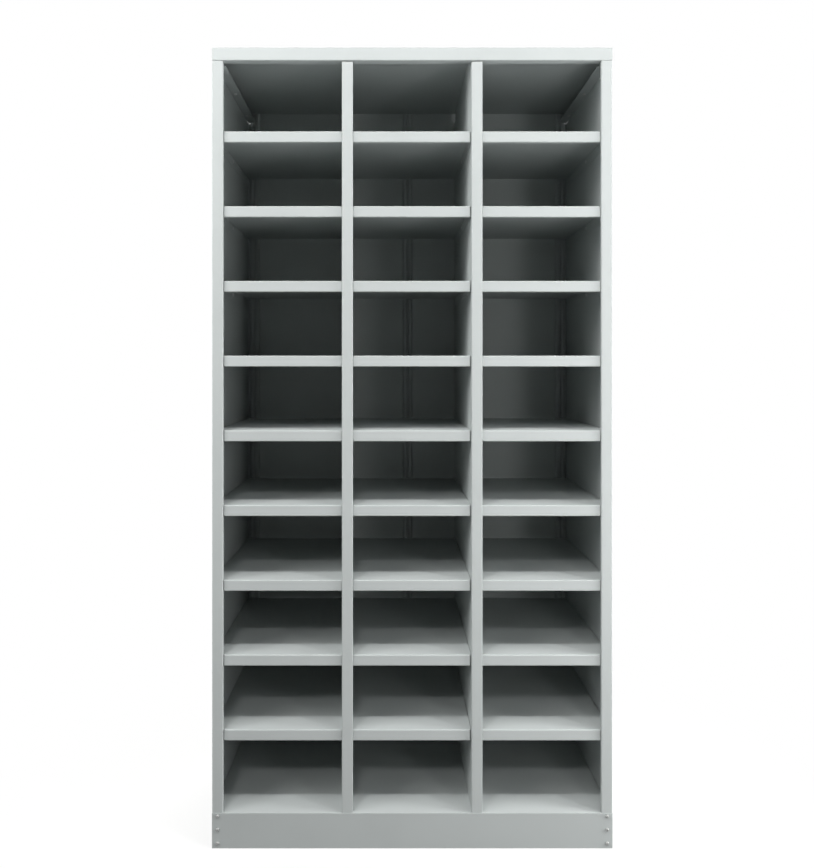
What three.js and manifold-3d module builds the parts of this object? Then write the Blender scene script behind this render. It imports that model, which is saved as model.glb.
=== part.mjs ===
// Free-standing pigeonhole mail sorter in folded sheet steel: three columns of ten open holes.
// Millimetres, +Z up. The open front faces -Y, and the origin is on the floor under the middle.
import * as THREE from "three";
import { mergeVertices } from "three/addons/utils/BufferGeometryUtils.js";
import Module from "manifold-3d";

const wasm = await Module();
wasm.setup();

// Overall size, screw heads included
const width = 915;
const depth = 457;
const height = 1830;

// Sheet and bends
const sheet = 0.9;
const insideBend = 1;
const outsideBend = insideBend + sheet;
const bendSteps = 3;
const clearance = 0.3;

// Columns and rows
const columnNames = ["left", "centre", "right"];
const shelvesPerColumn = 9;
const baseHeight = 80;
const bottomBay = 188;
const shelfPitch = 171.5;

// Uprights: the two sides and the two dividers are C sections with a face to the front
const faceWidth = 25;
const faceLip = 8;
const bearingFlange = 25;
const bearingRoot = 60;
const bearingInset = 30;

// Cap, a shallow tray turned upside down
const capHeight = 30;
const capLip = 18;
const capRearLip = 4;
const dividerTopGap = 2.5;

// Shelves
const shelfFlange = 25;
const shelfSideFlange = 24;
const shelfHem = 10;
const shelfSetback = 5;
const shelfEndGaps = [[1.8, 0.6], [0.8, 3], [0.6, 1.2]];
const shelfRearGap = 1.5;

// Base, one folded piece: deck and plinth
const plinthLip = 15;
const baseFlange = 25;

// Back sheets and the rolled strips that hold their edges
const stripWidth = 20;
const stripRise = 7;
const stripSlope = 4;
const stripGroove = 5.7;
const stripFromSide = 20;
const slotEndGap = 0.5;
const floorGap = 0.5;
const backTopGap = 4;
const dividerRearFlange = 12;

// Pan-head screws at the ends of the plinth
const screwHeadRadius = 4;
const screwHeadHeight = 3.1;
const screwHeadRim = 1;
const screwShankRadius = 2;
const screwHoleRadius = 2.4;
const screwLength = 9;
const screwSides = 16;
const screwCrownSteps = 4;
const screwHeights = { lower: 12, middle: 43, upper: 74 };

// Planes that the pieces share
const rearPlane = depth / 2;
const plinthFront = -depth / 2 + screwHeadHeight + clearance;
const faceFront = plinthFront + sheet + clearance;
const faceBack = faceFront + faceLip;
const stripSlot = sheet + 2 * clearance;
const slotRear = rearPlane - sheet;
const slotFront = slotRear - stripSlot;
const stripFront = slotFront - stripRise;
const backRear = slotRear - clearance;
const backFront = backRear - sheet;
const shelfRear = stripFront - shelfRearGap;
const capUnderside = height - capHeight;
const wallTop = capUnderside - clearance;
const backTop = height - backTopGap;
const sideOuter = width / 2;
const sideInner = sideOuter - sheet;
const sideFaceEdge = sideOuter - faceWidth;
const holeWidth = (width - (columnNames.length + 1) * faceWidth) / columnNames.length;
const dividerWebs = [-sideFaceEdge + holeWidth, -sideFaceEdge + 2 * holeWidth + faceWidth];
const stripReach = stripGroove / 2 + sheet + slotEndGap;
const stripCentres = { left: -sideOuter + stripFromSide, centre: 0, right: sideOuter - stripFromSide };

// Powder coat on the sheet, zinc plate on the screws
const coatFinish = { color: 0xc9cecb, roughness: 0.45, metalness: 0 };
const zincFinish = { color: 0xb4b6b4, roughness: 0.4, metalness: 1 };

const point = (x, y) => new THREE.Vector2(x, y);

// Closed outline of a folded sheet: the path is one face, and the thickness lies on its left
function foldedSheet(path) {
  const face = [];
  const otherFace = [];
  const last = path.length - 1;
  path.forEach((corner, index) => {
    const heading = path[Math.min(index + 1, last)].clone().sub(path[Math.min(index, last - 1)]).normalize();
    const arriving = path[Math.max(index, 1)].clone().sub(path[Math.max(index - 1, 0)]).normalize();
    const left = point(-arriving.y, arriving.x);
    const turn = Math.atan2(arriving.cross(heading), arriving.dot(heading));
    if (index === 0 || index === last) {
      face.push(corner);
      otherFace.push(corner.clone().addScaledVector(left, sheet));
      return;
    }
    const side = Math.sign(turn);
    const radius = side > 0 ? outsideBend : insideBend;
    const start = corner.clone().addScaledVector(arriving, -radius * Math.tan(Math.abs(turn) / 2));
    const centre = start.clone().addScaledVector(left, side * radius);
    for (let step = 0; step <= bendSteps; step += 1) {
      const spoke = left.clone().multiplyScalar(-side).rotateAround(point(0, 0), (turn * step) / bendSteps);
      face.push(centre.clone().addScaledVector(spoke, radius));
      otherFace.push(centre.clone().addScaledVector(spoke, radius - side * sheet));
    }
  });
  return new THREE.Shape([...face, ...otherFace.reverse()]);
}

// Rectangle with rounded corners, drawn counter-clockwise
function roundedBlock(x0, x1, y0, y1, radius) {
  const outline = new THREE.Shape();
  outline.moveTo(x0 + radius, y0);
  outline.absarc(x1 - radius, y0 + radius, radius, -Math.PI / 2, 0);
  outline.absarc(x1 - radius, y1 - radius, radius, 0, Math.PI / 2);
  outline.absarc(x0 + radius, y1 - radius, radius, Math.PI / 2, Math.PI);
  outline.absarc(x0 + radius, y0 + radius, radius, Math.PI, 1.5 * Math.PI);
  return outline;
}

const mirrored = (path) => path.map((corner) => point(-corner.x, corner.y)).reverse();

// A closed three.js geometry as a solid for joining and cutting
function solid(geometry) {
  geometry.deleteAttribute("normal");
  geometry.deleteAttribute("uv");
  const merged = mergeVertices(geometry);
  return new wasm.Manifold(new wasm.Mesh({
    numProp: 3,
    vertProperties: merged.attributes.position.array,
    triVerts: Uint32Array.from(merged.index.array),
  }));
}

const axisX = new THREE.Vector3(1, 0, 0);
const axisY = new THREE.Vector3(0, 1, 0);
const axisZ = new THREE.Vector3(0, 0, 1);

function extrude(outline, length, across, up, along, origin) {
  const options = { depth: length, bevelEnabled: false, curveSegments: bendSteps };
  const geometry = new THREE.ExtrudeGeometry(outline, options);
  const frame = new THREE.Matrix4().makeBasis(across, up, along).setPosition(origin);
  return solid(geometry.applyMatrix4(frame));
}

// Outlines in the y-z, x-z and x-y planes, run along the third axis
function alongX(outline, x0, x1) {
  return extrude(outline, x1 - x0, axisY, axisZ, axisX, axisX.clone().multiplyScalar(x0));
}

function alongY(outline, y0, y1) {
  return extrude(outline, y1 - y0, axisX, axisZ, axisY.clone().negate(), axisY.clone().multiplyScalar(y1));
}

function alongZ(outline, z0, z1) {
  return extrude(outline, z1 - z0, axisX, axisY, axisZ, axisZ.clone().multiplyScalar(z0));
}

const cabinet = new THREE.Group();
cabinet.name = "pigeonhole_mail_sorter";

function addPiece(name, body, finish) {
  const { vertProperties, triVerts } = body.getMesh();
  const geometry = new THREE.BufferGeometry();
  geometry.setAttribute("position", new THREE.BufferAttribute(vertProperties, 3));
  geometry.setIndex(new THREE.BufferAttribute(triVerts, 1));
  const material = new THREE.MeshStandardMaterial({ ...finish, flatShading: true });
  const piece = new THREE.Mesh(geometry, material);
  piece.name = name;
  cabinet.add(piece);
}

const addCoated = (name, body) => addPiece(name, body, coatFinish);

// Holes for the plinth screws, through the plinth and the side face behind it
function screwHoles(side) {
  const x = side * (sideOuter - faceWidth / 2);
  return Object.values(screwHeights).map((z) => {
    const hole = new THREE.Shape();
    hole.absarc(x, z, screwHoleRadius, 0, 2 * Math.PI);
    const drill = new THREE.Shape(hole.getPoints(screwSides / 2).slice(0, -1));
    return alongY(drill, plinthFront - screwLength, plinthFront + screwLength);
  });
}

// Side panels: outer skin, front face with its lip, rear flange, and bearing flanges at top and bottom
function sidePanel(side) {
  const facing = (path) => (side < 0 ? path : mirrored(path));
  const plan = facing([
    point(-sideOuter + stripFromSide - stripReach, backRear),
    point(-sideOuter, backRear),
    point(-sideOuter, faceFront),
    point(-sideFaceEdge, faceFront),
    point(-sideFaceEdge, faceBack),
  ]);
  const footing = facing([
    point(-sideOuter, bearingRoot),
    point(-sideOuter, 0),
    point(-sideOuter + bearingFlange, 0),
  ]);
  const heading = facing([
    point(-sideOuter + bearingFlange, wallTop),
    point(-sideOuter, wallTop),
    point(-sideOuter, wallTop - bearingRoot),
  ]);
  const flangeFront = faceFront + bearingInset;
  const flangeRear = backRear - bearingInset;
  let panel = alongZ(foldedSheet(plan), 0, wallTop);
  panel = panel.add(alongY(foldedSheet(footing), flangeFront, flangeRear));
  panel = panel.add(alongY(foldedSheet(heading), flangeFront, flangeRear));
  return screwHoles(side).reduce((body, hole) => body.subtract(hole), panel);
}

addCoated("left_side_panel", sidePanel(-1));
addCoated("right_side_panel", sidePanel(1));

// Dividers: the web is at the left edge of the face, and rises behind the cap's lip to its top sheet
function divider(web) {
  const plan = [
    point(web + dividerRearFlange, backFront - clearance),
    point(web, backFront - clearance),
    point(web, faceFront),
    point(web + faceWidth, faceFront),
    point(web + faceWidth, faceBack),
  ];
  const foot = baseHeight + clearance;
  const crown = height - sheet - clearance;
  const footing = [point(web, foot + bearingRoot), point(web, foot), point(web + bearingFlange, foot)];
  const heading = [
    point(web + bearingFlange, crown),
    point(web, crown),
    point(web, capUnderside - bearingRoot),
  ];
  const flangeFront = faceFront + bearingInset;
  const flangeRear = backRear - bearingInset;
  let body = alongZ(foldedSheet(plan), foot, capUnderside - dividerTopGap);
  body = body.add(alongY(foldedSheet(footing), flangeFront, flangeRear));
  return body.add(alongY(foldedSheet(heading), flangeFront, flangeRear));
}

addCoated("left_divider", divider(dividerWebs[0]));
addCoated("right_divider", divider(dividerWebs[1]));

// Cap: a tray shelled from a block with eased edges, open below inside its lips and at the rear, for the back
function cap() {
  const block = (inset) => {
    const radius = outsideBend - inset;
    const low = capUnderside + inset;
    const high = height - inset;
    const across = roundedBlock(-sideOuter + inset, sideOuter - inset, low, high, radius);
    const deep = roundedBlock(plinthFront + inset, rearPlane - inset, low, high, radius);
    const lengthways = alongX(deep, -sideOuter + inset, sideOuter - inset);
    return lengthways.intersect(alongY(across, plinthFront + inset, rearPlane - inset));
  };
  const opening = (lip, front) => {
    const box = new THREE.BoxGeometry(width - 2 * lip, depth, 2 * outsideBend);
    return solid(box.translate(0, front + depth / 2, capUnderside));
  };
  const tray = block(0).subtract(block(sheet));
  return tray.subtract(opening(capLip, plinthFront + capLip)).subtract(opening(capRearLip, shelfRear));
}

addCoated("top_cap", cap());

// Base: the deck folds down into the plinth, which runs across the feet of both side faces
function base() {
  const deckEdge = sideInner - clearance;
  const fold = [
    point(shelfRear, baseHeight - baseFlange),
    point(shelfRear, baseHeight),
    point(plinthFront, baseHeight),
    point(plinthFront, 0),
    point(plinthFront + plinthLip, 0),
  ];
  const deck = [
    point(deckEdge, baseHeight - baseFlange),
    point(deckEdge, baseHeight),
    point(-deckEdge, baseHeight),
    point(-deckEdge, baseHeight - baseFlange),
  ];
  const plinth = [point(plinthFront, baseHeight), point(plinthFront, 0)];
  const foldEnd = sideFaceEdge - clearance;
  let body = alongX(foldedSheet(fold), -foldEnd, foldEnd);
  body = body.add(alongY(foldedSheet(deck), faceBack + clearance, shelfRear));
  body = body.add(alongX(foldedSheet(plinth), -sideOuter, sideOuter));
  const holes = [...screwHoles(-1), ...screwHoles(1)];
  return holes.reduce((cut, hole) => cut.subtract(hole), body);
}

addCoated("base_and_plinth", base());

// Shelves: a deck between the walls with sides turned down, and a hemmed front flange between the faces
function shelf(column, deckTop) {
  const wallLeft = [-sideInner, dividerWebs[0] + sheet, dividerWebs[1] + sheet][column] + clearance;
  const wallRight = [dividerWebs[0], dividerWebs[1], sideInner][column] - clearance;
  const holeLeft = -sideFaceEdge + column * (holeWidth + faceWidth);
  const [leftGap, rightGap] = shelfEndGaps[column];
  const front = faceFront + shelfSetback;
  const deck = [
    point(wallRight, deckTop - shelfSideFlange),
    point(wallRight, deckTop),
    point(wallLeft, deckTop),
    point(wallLeft, deckTop - shelfSideFlange),
  ];
  const nose = [
    point(faceBack + shelfFlange, deckTop),
    point(front, deckTop),
    point(front, deckTop - shelfFlange),
    point(front + shelfHem, deckTop - shelfFlange),
  ];
  const body = alongY(foldedSheet(deck), faceBack + clearance, shelfRear);
  return body.add(alongX(foldedSheet(nose), holeLeft + leftGap, holeLeft + holeWidth - rightGap));
}

columnNames.forEach((columnName, column) => {
  for (let row = 0; row < shelvesPerColumn; row += 1) {
    const deckTop = baseHeight + bottomBay + row * shelfPitch;
    addCoated(`shelf_${columnName}_${row + 1}`, shelf(column, deckTop));
  }
});

// Back: two sheets whose upright edges sit in the slots of three rolled strips, and whose tops sit in the cap
function backSheet(x0, x1) {
  const plan = [point(x1, backRear), point(x0, backRear)];
  return alongZ(foldedSheet(plan), floorGap, backTop);
}

addCoated("left_back_sheet", backSheet(stripCentres.left + stripReach, stripCentres.centre - stripReach));
addCoated("right_back_sheet", backSheet(stripCentres.centre + stripReach, stripCentres.right - stripReach));

// A strip is a hat section in front, whose groove passes between the sheets to a flat cover behind them.
// The cover ends below the cap, and the groove is shallower inside it.
function jointStrip(centre) {
  const edge = stripWidth / 2;
  const groove = stripGroove / 2;
  const hat = (grooveFloor) => {
    const rightHalf = [
      point(groove, grooveFloor),
      point(groove, stripFront),
      point(edge, stripFront),
      point(edge + stripSlope, slotFront - sheet),
    ];
    return [...mirrored(rightHalf), ...rightHalf];
  };
  const cover = [point(edge, rearPlane), point(-edge, rearPlane)];
  const upright = (path, z0, z1) => {
    const placed = path.map((corner) => point(corner.x + centre, corner.y));
    return alongZ(foldedSheet(placed), z0, z1);
  };
  const lower = upright(hat(slotRear), floorGap, wallTop).add(upright(cover, floorGap, wallTop));
  return lower.add(upright(hat(backFront), wallTop, backTop));
}

for (const [place, centre] of Object.entries(stripCentres)) {
  addCoated(`${place}_back_strip`, jointStrip(centre));
}

// Plinth screws: domed pan head and plain shank, turned about their axis and laid along +Y
function plinthScrew(x, z) {
  const crown = new THREE.QuadraticBezierCurve(
    point(screwHeadRadius, screwHeadRim),
    point(screwHeadRadius, screwHeadHeight),
    point(0, screwHeadHeight),
  );
  const profile = [
    point(0, -screwLength),
    point(screwShankRadius, -screwLength),
    point(screwShankRadius, 0),
    point(screwHeadRadius, 0),
    ...crown.getPoints(screwCrownSteps),
  ];
  const geometry = new THREE.LatheGeometry(profile, screwSides);
  geometry.rotateX(Math.PI);
  geometry.translate(x, plinthFront - clearance, z);
  return solid(geometry);
}

for (const [sideName, side] of [["left", -1], ["right", 1]]) {
  for (const [level, z] of Object.entries(screwHeights)) {
    const screw = plinthScrew(side * (sideOuter - faceWidth / 2), z);
    addPiece(`plinth_screw_${sideName}_${level}`, screw, zincFinish);
  }
}

export default cabinet;
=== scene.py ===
import math

import bmesh
import bpy
from mathutils import Matrix, Vector


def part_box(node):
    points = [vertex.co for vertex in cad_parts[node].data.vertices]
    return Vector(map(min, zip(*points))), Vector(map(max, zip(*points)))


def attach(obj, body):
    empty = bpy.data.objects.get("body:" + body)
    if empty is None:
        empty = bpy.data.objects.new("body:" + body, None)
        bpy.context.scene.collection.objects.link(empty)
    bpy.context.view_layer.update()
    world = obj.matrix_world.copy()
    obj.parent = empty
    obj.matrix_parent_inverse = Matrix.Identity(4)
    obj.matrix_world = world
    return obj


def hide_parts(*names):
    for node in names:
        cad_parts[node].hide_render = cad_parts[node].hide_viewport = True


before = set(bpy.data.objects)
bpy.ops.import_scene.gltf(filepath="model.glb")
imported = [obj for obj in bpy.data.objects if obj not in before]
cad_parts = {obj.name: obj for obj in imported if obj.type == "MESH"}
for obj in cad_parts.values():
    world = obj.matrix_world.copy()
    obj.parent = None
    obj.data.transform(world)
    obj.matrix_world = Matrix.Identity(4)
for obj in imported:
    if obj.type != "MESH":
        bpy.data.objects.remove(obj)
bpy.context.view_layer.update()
scene = bpy.context.scene
mm = 0.001
quarterTurn = math.radians(90)
mergeDistance = 0.001 * mm  # closes seams and poles, far below any real edge
print("frame loaded:", len(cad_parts), "nodes")


# The sRGB curve: a short straight foot, then a power
srgbCurve = {
    "footEnd": 0.04045,
    "footSlope": 12.92,
    "offset": 0.055,
    "power": 2.4,
}


def hexToLinear(hexColour):
    linear = []
    for start in (1, 3, 5):
        value = int(hexColour[start:start + 2], 16) / 255
        if value <= srgbCurve["footEnd"]:
            linear.append(value / srgbCurve["footSlope"])
        else:
            base = (value + srgbCurve["offset"]) / (1 + srgbCurve["offset"])
            linear.append(base ** srgbCurve["power"])
    return linear + [1.0]


def addNode(tree, kind, options=None, sockets=None, links=None):
    node = tree.nodes.new(kind)
    for name, value in (options or {}).items():
        setattr(node, name, value)
    for name, value in (sockets or {}).items():
        node.inputs[name].default_value = value
    for name, source in (links or {}).items():
        tree.links.new(source, node.inputs[name])
    return node


def newMaterial(name):
    material = bpy.data.materials.new(name)
    material.use_nodes = True
    material.node_tree.nodes.clear()
    return material, material.node_tree


def meshObject(shape, name):
    mesh = bpy.data.meshes.new(name)
    shape.to_mesh(mesh)
    shape.free()
    made = bpy.data.objects.new(name, mesh)
    scene.collection.objects.link(made)
    return made


def addPiece(shape, name, material):
    piece = meshObject(shape, name)
    piece.data.materials.append(material)
    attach(piece, "root")
    return piece


# Camera: level, a little left of the middle, at the photo's eye height
view = {
    "imageWidth": 814,
    "imageHeight": 868,
    "horizonPixel": 369,       # row of the eye level in the image
    "vanishPixel": 389,        # column straight ahead of the lens
    "pixelsPerMm": 0.4375,     # scale of the cabinet's front face
    "eyeHeight": 1095 * mm,
    "eyeLeft": 53 * mm,
    "eyeDistance": 1744 * mm,  # lens to the front faces
    "sensor": 36.0,
}
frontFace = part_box("left_divider")[0].y
cameraData = bpy.data.cameras.new("photoCamera")
cameraData.sensor_width = view["sensor"]
focalPixels = view["pixelsPerMm"] * view["eyeDistance"] / mm
cameraData.lens = focalPixels / view["imageHeight"] * view["sensor"]
cameraData.shift_x = (view["imageWidth"] / 2 - view["vanishPixel"]) / view["imageHeight"]
cameraData.shift_y = (view["horizonPixel"] - view["imageHeight"] / 2) / view["imageHeight"]
camera = bpy.data.objects.new("photoCamera", cameraData)
camera.location = (-view["eyeLeft"], frontFace - view["eyeDistance"], view["eyeHeight"])
camera.rotation_euler = (quarterTurn, 0, 0)
scene.collection.objects.link(camera)
scene.camera = camera
print("camera placed, lens", round(cameraData.lens, 2), "mm")


noiseLow = 0.3  # nearly all values of a noise pattern lie between these two
noiseHigh = 0.7

# Polyester powder coat on cold-rolled sheet: pale grey, satin, a faint orange peel that breaks up the gloss
coat = {
    "colour": "#C2C7C6",
    "shade": "#BABFBE",      # where the coat lies a little thinner
    "patch": 140 * mm,       # size of those areas
    "patchDetail": 2.0,
    "grain": 0.9 * mm,       # pigment speckle
    "grainDetail": 1.0,
    "sumLow": 0.7,           # patch and speckle added, at which the coat is all shade
    "sumHigh": 1.3,          # and all colour; the sum is cut off at 1, so it stays nearer the shade
    "peel": 3.0 * mm,        # real peel is about 1.5 mm, drawn coarser so that it shows
    "peelDetail": 2.0,
    "peelDepth": 0.03 * mm,
    "roughLow": 0.42,
    "roughHigh": 0.54,
    "ior": 1.5,
    "gloss": 0.3,            # specular level, low because matting agent dulls the coat
}


def powderCoat():
    material, tree = newMaterial("satinPowderCoat")
    place = addNode(tree, "ShaderNodeTexCoord").outputs["Object"]
    patches = addNode(tree, "ShaderNodeTexNoise",
                      sockets={"Scale": 1 / coat["patch"], "Detail": coat["patchDetail"]},
                      links={"Vector": place})
    grain = addNode(tree, "ShaderNodeTexNoise",
                    sockets={"Scale": 1 / coat["grain"], "Detail": coat["grainDetail"]},
                    links={"Vector": place})
    peel = addNode(tree, "ShaderNodeTexNoise",
                   sockets={"Scale": 1 / coat["peel"], "Detail": coat["peelDetail"]},
                   links={"Vector": place})
    both = addNode(tree, "ShaderNodeMath", {"operation": "ADD", "use_clamp": True},
                   links={0: patches.outputs["Fac"], 1: grain.outputs["Fac"]})
    spread = addNode(tree, "ShaderNodeMapRange",
                     sockets={"From Min": coat["sumLow"], "From Max": coat["sumHigh"]},
                     links={"Value": both.outputs[0]})
    colour = addNode(tree, "ShaderNodeMix", {"data_type": "RGBA"},
                     {"A": hexToLinear(coat["shade"]), "B": hexToLinear(coat["colour"])},
                     {"Factor": spread.outputs[0]})
    rough = addNode(tree, "ShaderNodeMapRange",
                    sockets={"From Min": noiseLow, "From Max": noiseHigh,
                             "To Min": coat["roughLow"], "To Max": coat["roughHigh"]},
                    links={"Value": peel.outputs["Fac"]})
    bump = addNode(tree, "ShaderNodeBump",
                   sockets={"Strength": 1.0, "Distance": coat["peelDepth"]},
                   links={"Height": peel.outputs["Fac"]})
    shader = addNode(tree, "ShaderNodeBsdfPrincipled",
                     sockets={"IOR": coat["ior"], "Specular IOR Level": coat["gloss"]},
                     links={"Base Color": colour.outputs["Result"], "Roughness": rough.outputs[0],
                            "Normal": bump.outputs[0]})
    addNode(tree, "ShaderNodeOutputMaterial", links={"Surface": shader.outputs[0]})
    return material


coatMaterial = powderCoat()
screwNodes = [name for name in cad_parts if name.startswith("plinth_screw")]
for name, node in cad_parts.items():
    if name not in screwNodes:
        node.data.materials.clear()
        node.data.materials.append(coatMaterial)
print("powder coat on", len(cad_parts) - len(screwNodes), "sheet pieces")


# Zinc plate on cold-headed steel, gone chalky: a pale grey with a soft gloss, light where a lamp reaches it
zinc = {
    "colour": "#B8BAB8",
    "dull": "#989A98",
    "patch": 1.6 * mm,       # size of the dull areas
    "detail": 3.0,
    "roughLow": 0.28,
    "roughHigh": 0.42,
    "metal": 0.35,           # share that is still bare metal, the rest is oxide
}

# Drawn aluminium of the blind rivets, gone dull: paler than the zinc, so the heads show as light dots
aluminium = {
    "colour": "#E6E7E7",
    "dull": "#CFD0D1",
    "patch": 1.2 * mm,
    "detail": 3.0,
    "roughLow": 0.3,
    "roughHigh": 0.44,
    "metal": 0.3,
}


def bareMetal(name, finish):
    material, tree = newMaterial(name)
    place = addNode(tree, "ShaderNodeTexCoord").outputs["Object"]
    patches = addNode(tree, "ShaderNodeTexNoise",
                      sockets={"Scale": 1 / finish["patch"], "Detail": finish["detail"]},
                      links={"Vector": place})
    colour = addNode(tree, "ShaderNodeMix", {"data_type": "RGBA"},
                     {"A": hexToLinear(finish["dull"]), "B": hexToLinear(finish["colour"])},
                     {"Factor": patches.outputs["Fac"]})
    rough = addNode(tree, "ShaderNodeMapRange",
                    sockets={"From Min": noiseLow, "From Max": noiseHigh,
                             "To Min": finish["roughHigh"], "To Max": finish["roughLow"]},
                    links={"Value": patches.outputs["Fac"]})
    shader = addNode(tree, "ShaderNodeBsdfPrincipled",
                     sockets={"Metallic": finish["metal"]},
                     links={"Base Color": colour.outputs["Result"], "Roughness": rough.outputs[0]})
    addNode(tree, "ShaderNodeOutputMaterial", links={"Surface": shader.outputs[0]})
    return material


zincMaterial = bareMetal("chalkyZincPlate", zinc)
aluminiumMaterial = bareMetal("drawnAluminium", aluminium)


# Spins a half outline, given as (radius, height) from the axis round to the axis, about +Z
def turned(shape, outline, sides):
    verts = [shape.verts.new((radius, 0, height)) for radius, height in outline]
    edges = [shape.edges.new(pair) for pair in zip(verts, verts[1:])]
    bmesh.ops.spin(shape, geom=verts + edges, axis=(0, 0, 1), cent=(0, 0, 0), steps=sides,
                   angle=2 * math.pi, use_merge=True)
    bmesh.ops.remove_doubles(shape, verts=shape.verts, dist=mergeDistance)
    bmesh.ops.recalc_face_normals(shape, faces=shape.faces)
    for face in shape.faces:
        face.smooth = True


# Blind rivets that hold each shelf: a domed head on both turned-down sides, at mid depth
rivet = {
    "radius": 4.0 * mm,
    "height": 2.2 * mm,
    "rim": 0.7 * mm,         # upright edge of the head
    "pinRadius": 1.2 * mm,   # broken pin in the middle of the dome
    "pinDepth": 0.6 * mm,
    "belowDeck": 11 * mm,    # about the middle of the turned-down side
    "sheet": 0.9 * mm,       # the heads stand on the inner face of the sheet
    "sides": 20,
    "domeSteps": 5,
}


def rivetOutline():
    outline = [(0, 0), (rivet["radius"], 0)]
    for step in range(rivet["domeSteps"] + 1):
        turn = quarterTurn * step / rivet["domeSteps"]
        across = rivet["pinRadius"] + (rivet["radius"] - rivet["pinRadius"]) * math.cos(turn)
        outline.append((across, rivet["rim"] + (rivet["height"] - rivet["rim"]) * math.sin(turn)))
    pinTop = rivet["height"] - rivet["pinDepth"]
    return outline + [(rivet["pinRadius"], pinTop), (0, pinTop)]


def rivetHead(place, towards):
    head = bmesh.new()
    turned(head, rivetOutline(), rivet["sides"])
    turn = Vector((0, 0, 1)).rotation_difference(Vector(towards)).to_matrix().to_4x4()
    bmesh.ops.transform(head, matrix=Matrix.Translation(place) @ turn, verts=head.verts)
    return head


def joinShapes(shapes):
    whole = bmesh.new()
    for shape in shapes:
        mesh = bpy.data.meshes.new("shape")
        shape.to_mesh(mesh)
        shape.free()
        whole.from_mesh(mesh)
        bpy.data.meshes.remove(mesh)
    return whole


shelfNodes = [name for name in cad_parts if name.startswith("shelf_")]
for name in shelfNodes:
    low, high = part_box(name)
    middle = (low.y + high.y) / 2
    height = high.z - rivet["belowDeck"]
    heads = [
        rivetHead((low.x + rivet["sheet"], middle, height), (1, 0, 0)),
        rivetHead((high.x - rivet["sheet"], middle, height), (-1, 0, 0)),
    ]
    addPiece(joinShapes(heads), name.replace("shelf", "rivets"), aluminiumMaterial)
print("rivets in", len(shelfNodes), "shelves")


# Rivets up through the top bearing flange of each side panel into the cap
capFixing = {
    "fromSide": 11 * mm,             # in from the panel's outer face
    "depths": (-15 * mm, 150 * mm),  # from the middle of the cabinet towards its rear
}
for name, inward in (("left_side_panel", 1), ("right_side_panel", -1)):
    low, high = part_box(name)
    outer = low.x if inward > 0 else high.x
    heads = []
    for depth in capFixing["depths"]:
        place = (outer + inward * capFixing["fromSide"], depth, high.z - rivet["sheet"])
        heads.append(rivetHead(place, (0, 0, -1)))
    addPiece(joinShapes(heads), name.replace("side_panel", "cap_rivets"), aluminiumMaterial)
print("rivets under the cap")


# Pan-head screws of the plinth, with a cross recess
screw = {
    "headRadius": 4.0 * mm,
    "headHeight": 3.1 * mm,
    "rim": 0.9 * mm,           # upright edge of the head
    "domeFullness": 0.7,       # 1 is an ellipse, less is fuller at the shoulder
    "shankRadius": 2.0 * mm,
    "threadDepth": 0.25 * mm,
    "threadPitch": 0.7 * mm,
    "recessReach": 2.3 * mm,
    "recessWidth": 1.0 * mm,
    "recessDepth": 1.7 * mm,
    "recessTaper": 0.55,       # size of the recess at its floor, as a share of its mouth
    "sides": 32,
    "domeSteps": 6,
    "turn": math.radians(37),  # each next screw is driven home at another angle
}


def screwOutline(length):
    root = screw["shankRadius"] - screw["threadDepth"]
    outline = [(0, -length), (root, -length)]
    turns = int(length / screw["threadPitch"]) - 1
    for step in range(turns):
        crest = -length + (step + 0.5) * screw["threadPitch"]
        outline.append((screw["shankRadius"], crest))
        outline.append((root, crest + screw["threadPitch"] / 2))
    outline += [(screw["shankRadius"], 0), (screw["headRadius"], 0)]
    for step in range(screw["domeSteps"]):
        turn = quarterTurn * step / screw["domeSteps"]
        across = screw["headRadius"] * math.cos(turn) ** screw["domeFullness"]
        rise = (screw["headHeight"] - screw["rim"]) * math.sin(turn)
        outline.append((across, screw["rim"] + rise))
    return outline + [(0, screw["headHeight"])]


def recessCutter():
    cutter = bmesh.new()
    for reach, width in ((screw["recessReach"], screw["recessWidth"] / 2),
                         (screw["recessWidth"] / 2, screw["recessReach"])):
        made = bmesh.ops.create_cube(cutter, size=2 * screw["recessDepth"])["verts"]
        for vert in made:
            narrow = screw["recessTaper"] if vert.co.z < 0 else 1.0
            vert.co.x = math.copysign(reach * narrow, vert.co.x)
            vert.co.y = math.copysign(width * narrow, vert.co.y)
            vert.co.z += screw["headHeight"]
    return cutter


def crossHeadMesh(length):
    body = bmesh.new()
    turned(body, screwOutline(length), screw["sides"])
    bodyObject = meshObject(body, "screwBody")
    cutterObject = meshObject(recessCutter(), "recessCutter")
    cut = bodyObject.modifiers.new("recess", "BOOLEAN")
    cut.object = cutterObject
    cut.operation = "DIFFERENCE"
    cut.solver = "EXACT"
    cut.use_self = True
    bpy.context.view_layer.update()
    evaluated = bodyObject.evaluated_get(bpy.context.evaluated_depsgraph_get())
    result = bpy.data.meshes.new_from_object(evaluated)
    bpy.data.objects.remove(bodyObject)
    bpy.data.objects.remove(cutterObject)
    return result


screwLow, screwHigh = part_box(screwNodes[0])
screwMesh = crossHeadMesh(screwHigh.y - screwLow.y - screw["headHeight"])
for index, name in enumerate(sorted(screwNodes)):
    low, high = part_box(name)
    seat = Matrix.Translation(((low.x + high.x) / 2, low.y + screw["headHeight"], (low.z + high.z) / 2))
    facing = Matrix.Rotation(quarterTurn, 4, "X") @ Matrix.Rotation(index * screw["turn"], 4, "Z")
    shape = bmesh.new()
    shape.from_mesh(screwMesh)
    bmesh.ops.transform(shape, matrix=seat @ facing, verts=shape.verts)
    piece = addPiece(shape, name.replace("plinth_screw", "pan_head_screw"), zincMaterial)
    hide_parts(name)
print("screws in the plinth:", len(screwNodes))


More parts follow.
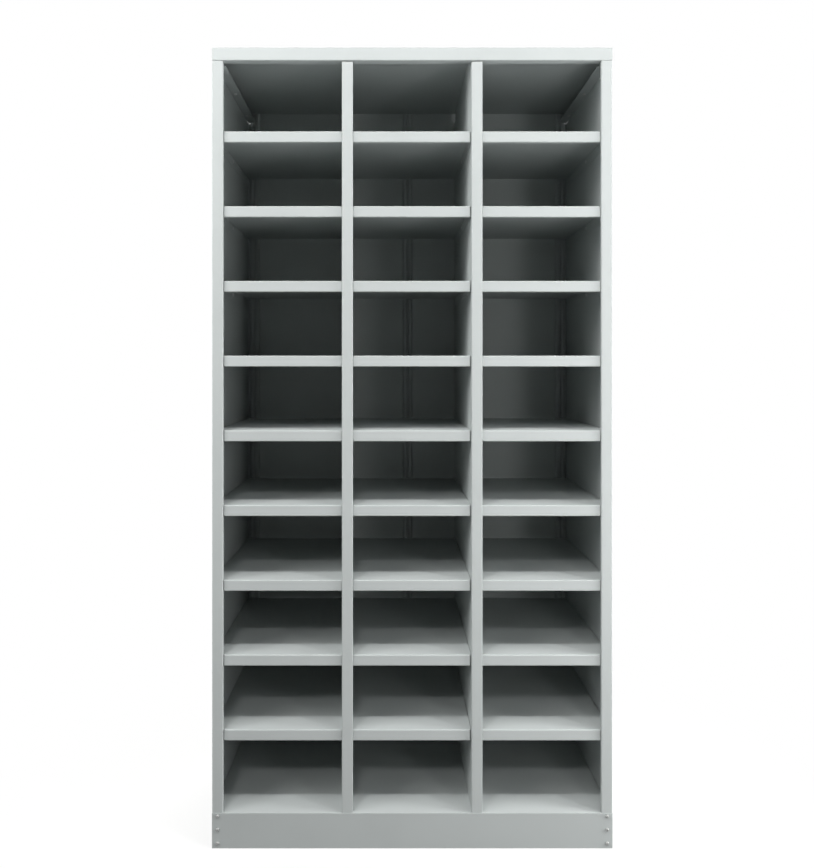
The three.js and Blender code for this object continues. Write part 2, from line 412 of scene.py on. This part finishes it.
# Floor and room, in metres
stageSet = {
    "floorSize": 14.0,
    "floorColour": "#F4F4F2",
    "floorBounce": 0.15,     # share of white that the floor gives back to the cabinet
    "shadowShare": 0.35,     # how much of the floor's look is its own shading, close to the cabinet
    "shadowNear": 0.25,      # the shading is whole up to this distance from the middle
    "shadowFar": 1.1,        # and the floor is plain white from here
    "roomLight": 0.0,        # the lamps give all the light
}
plainWhite = [1.0] * 4

# Rectangular lamps: places, aims and sizes in metres, power in watts
middleAim = (0.0, -0.2, 0.7)
upperAim = (0.0, -0.2, 1.5)
lamps = {
    # Keys from above, which give the shadows in the holes
    "leftKey": {"place": (-0.93, -1.96, 4.17), "aim": middleAim, "size": (0.25, 0.25), "power": 48},
    "rightKey": {"place": (2.17, -1.7, 3.7), "aim": middleAim, "size": (0.25, 0.25), "power": 44},
    "farKey": {"place": (-0.7, -7.7, 6.7), "aim": middleAim, "size": (0.8, 0.5), "power": 115},
    # Soft light from both sides
    "rightSide": {"place": (1.7, -0.6, 1.8), "aim": upperAim, "size": (0.4, 0.9), "power": 13},
    "leftSide": {"place": (-1.6, -0.8, 1.8), "aim": upperAim, "size": (0.4, 0.9), "power": 12},
    "rightLow": {"place": (1.7, -0.6, 0.6), "aim": (0.0, -0.2, 0.6), "size": (0.4, 0.9), "power": 17},
    "leftWide": {"place": (-2.4, -1.9, 2.4), "aim": (0.0, -0.2, 1.3), "size": (1.2, 1.6), "power": 27},
    # Narrow fills for the right-hand face and the cap's front
    "rightFill": {"place": (0.66, -1.2, 1.05), "aim": (0.5, 0.0, 1.05), "size": (0.15, 1.5), "power": 4},
    "capStrip": {"place": (0.0, -0.9, 2.2), "aim": upperAim, "size": (1.6, 0.2), "power": 2.5},
    # For the rear and the left panel
    "leftBehind": {"place": (-3.4, 1.4, 0.9), "aim": (-0.4, 0.0, 0.7), "size": (1.4, 1.4), "power": 45},
    "behind": {"place": (0.4, 4.0, 2.8), "aim": (0.0, 0.2, 0.9), "size": (2.4, 1.6), "power": 160},
}


# 1 for rays that come from the eye, straight, mirrored or through glass
def eyeRays(tree):
    path = addNode(tree, "ShaderNodeLightPath")
    seen = addNode(tree, "ShaderNodeMath", {"operation": "ADD"},
                   links={0: path.outputs["Is Camera Ray"], 1: path.outputs["Is Glossy Ray"]})
    whole = addNode(tree, "ShaderNodeMath", {"operation": "ADD", "use_clamp": True},
                    links={0: seen.outputs[0], 1: path.outputs["Is Transmission Ray"]})
    return whole.outputs[0]


# Plain studio floor: white to the eye, with the cabinet's shadow near it, and a weak bounce
def paleFloor():
    material, tree = newMaterial("paleStudioFloor")
    white = addNode(tree, "ShaderNodeEmission", sockets={"Strength": 1.0})
    shaded = addNode(tree, "ShaderNodeBsdfDiffuse",
                     sockets={"Color": hexToLinear(stageSet["floorColour"])})
    place = addNode(tree, "ShaderNodeTexCoord").outputs["Object"]
    away = addNode(tree, "ShaderNodeVectorMath", {"operation": "LENGTH"}, links={0: place})
    share = addNode(tree, "ShaderNodeMapRange", {"interpolation_type": "SMOOTHSTEP"},
                    {"From Min": stageSet["shadowNear"], "From Max": stageSet["shadowFar"],
                     "To Min": stageSet["shadowShare"], "To Max": 0.0},
                    {"Value": away.outputs["Value"]})
    shown = addNode(tree, "ShaderNodeMixShader",
                    links={0: share.outputs[0], 1: white.outputs[0], 2: shaded.outputs[0]})
    bounce = addNode(tree, "ShaderNodeBsdfDiffuse",
                     sockets={"Color": [stageSet["floorBounce"]] * 3 + [1.0]})
    whole = addNode(tree, "ShaderNodeMixShader",
                    links={0: eyeRays(tree), 1: bounce.outputs[0], 2: shown.outputs[0]})
    addNode(tree, "ShaderNodeOutputMaterial", links={"Surface": whole.outputs[0]})
    return material


def makeFloor():
    shape = bmesh.new()
    bmesh.ops.create_grid(shape, x_segments=1, y_segments=1, size=stageSet["floorSize"] / 2)
    floor = meshObject(shape, "studioFloor")
    floor.data.materials.append(paleFloor())


def makeWorld():
    world = bpy.data.worlds.new("paleRoom")
    scene.world = world
    world.use_nodes = True
    tree = world.node_tree
    tree.nodes.clear()
    room = addNode(tree, "ShaderNodeBackground",
                   sockets={"Color": plainWhite, "Strength": stageSet["roomLight"]})
    white = addNode(tree, "ShaderNodeBackground", sockets={"Color": plainWhite, "Strength": 1.0})
    whole = addNode(tree, "ShaderNodeMixShader",
                    links={0: eyeRays(tree), 1: room.outputs[0], 2: white.outputs[0]})
    addNode(tree, "ShaderNodeOutputWorld", links={"Surface": whole.outputs[0]})


def makeLamps():
    for name, lamp in lamps.items():
        light = bpy.data.lights.new(name, "AREA")
        light.shape = "RECTANGLE"
        light.size, light.size_y = lamp["size"]
        light.energy = lamp["power"]
        holder = bpy.data.objects.new(name, light)
        holder.location = lamp["place"]
        direction = Vector(lamp["aim"]) - Vector(lamp["place"])
        holder.rotation_euler = direction.to_track_quat("-Z", "Y").to_euler()
        scene.collection.objects.link(holder)


makeFloor()
makeWorld()
makeLamps()
scene.view_settings.view_transform = "Standard"
print("floor, room and lamps made")
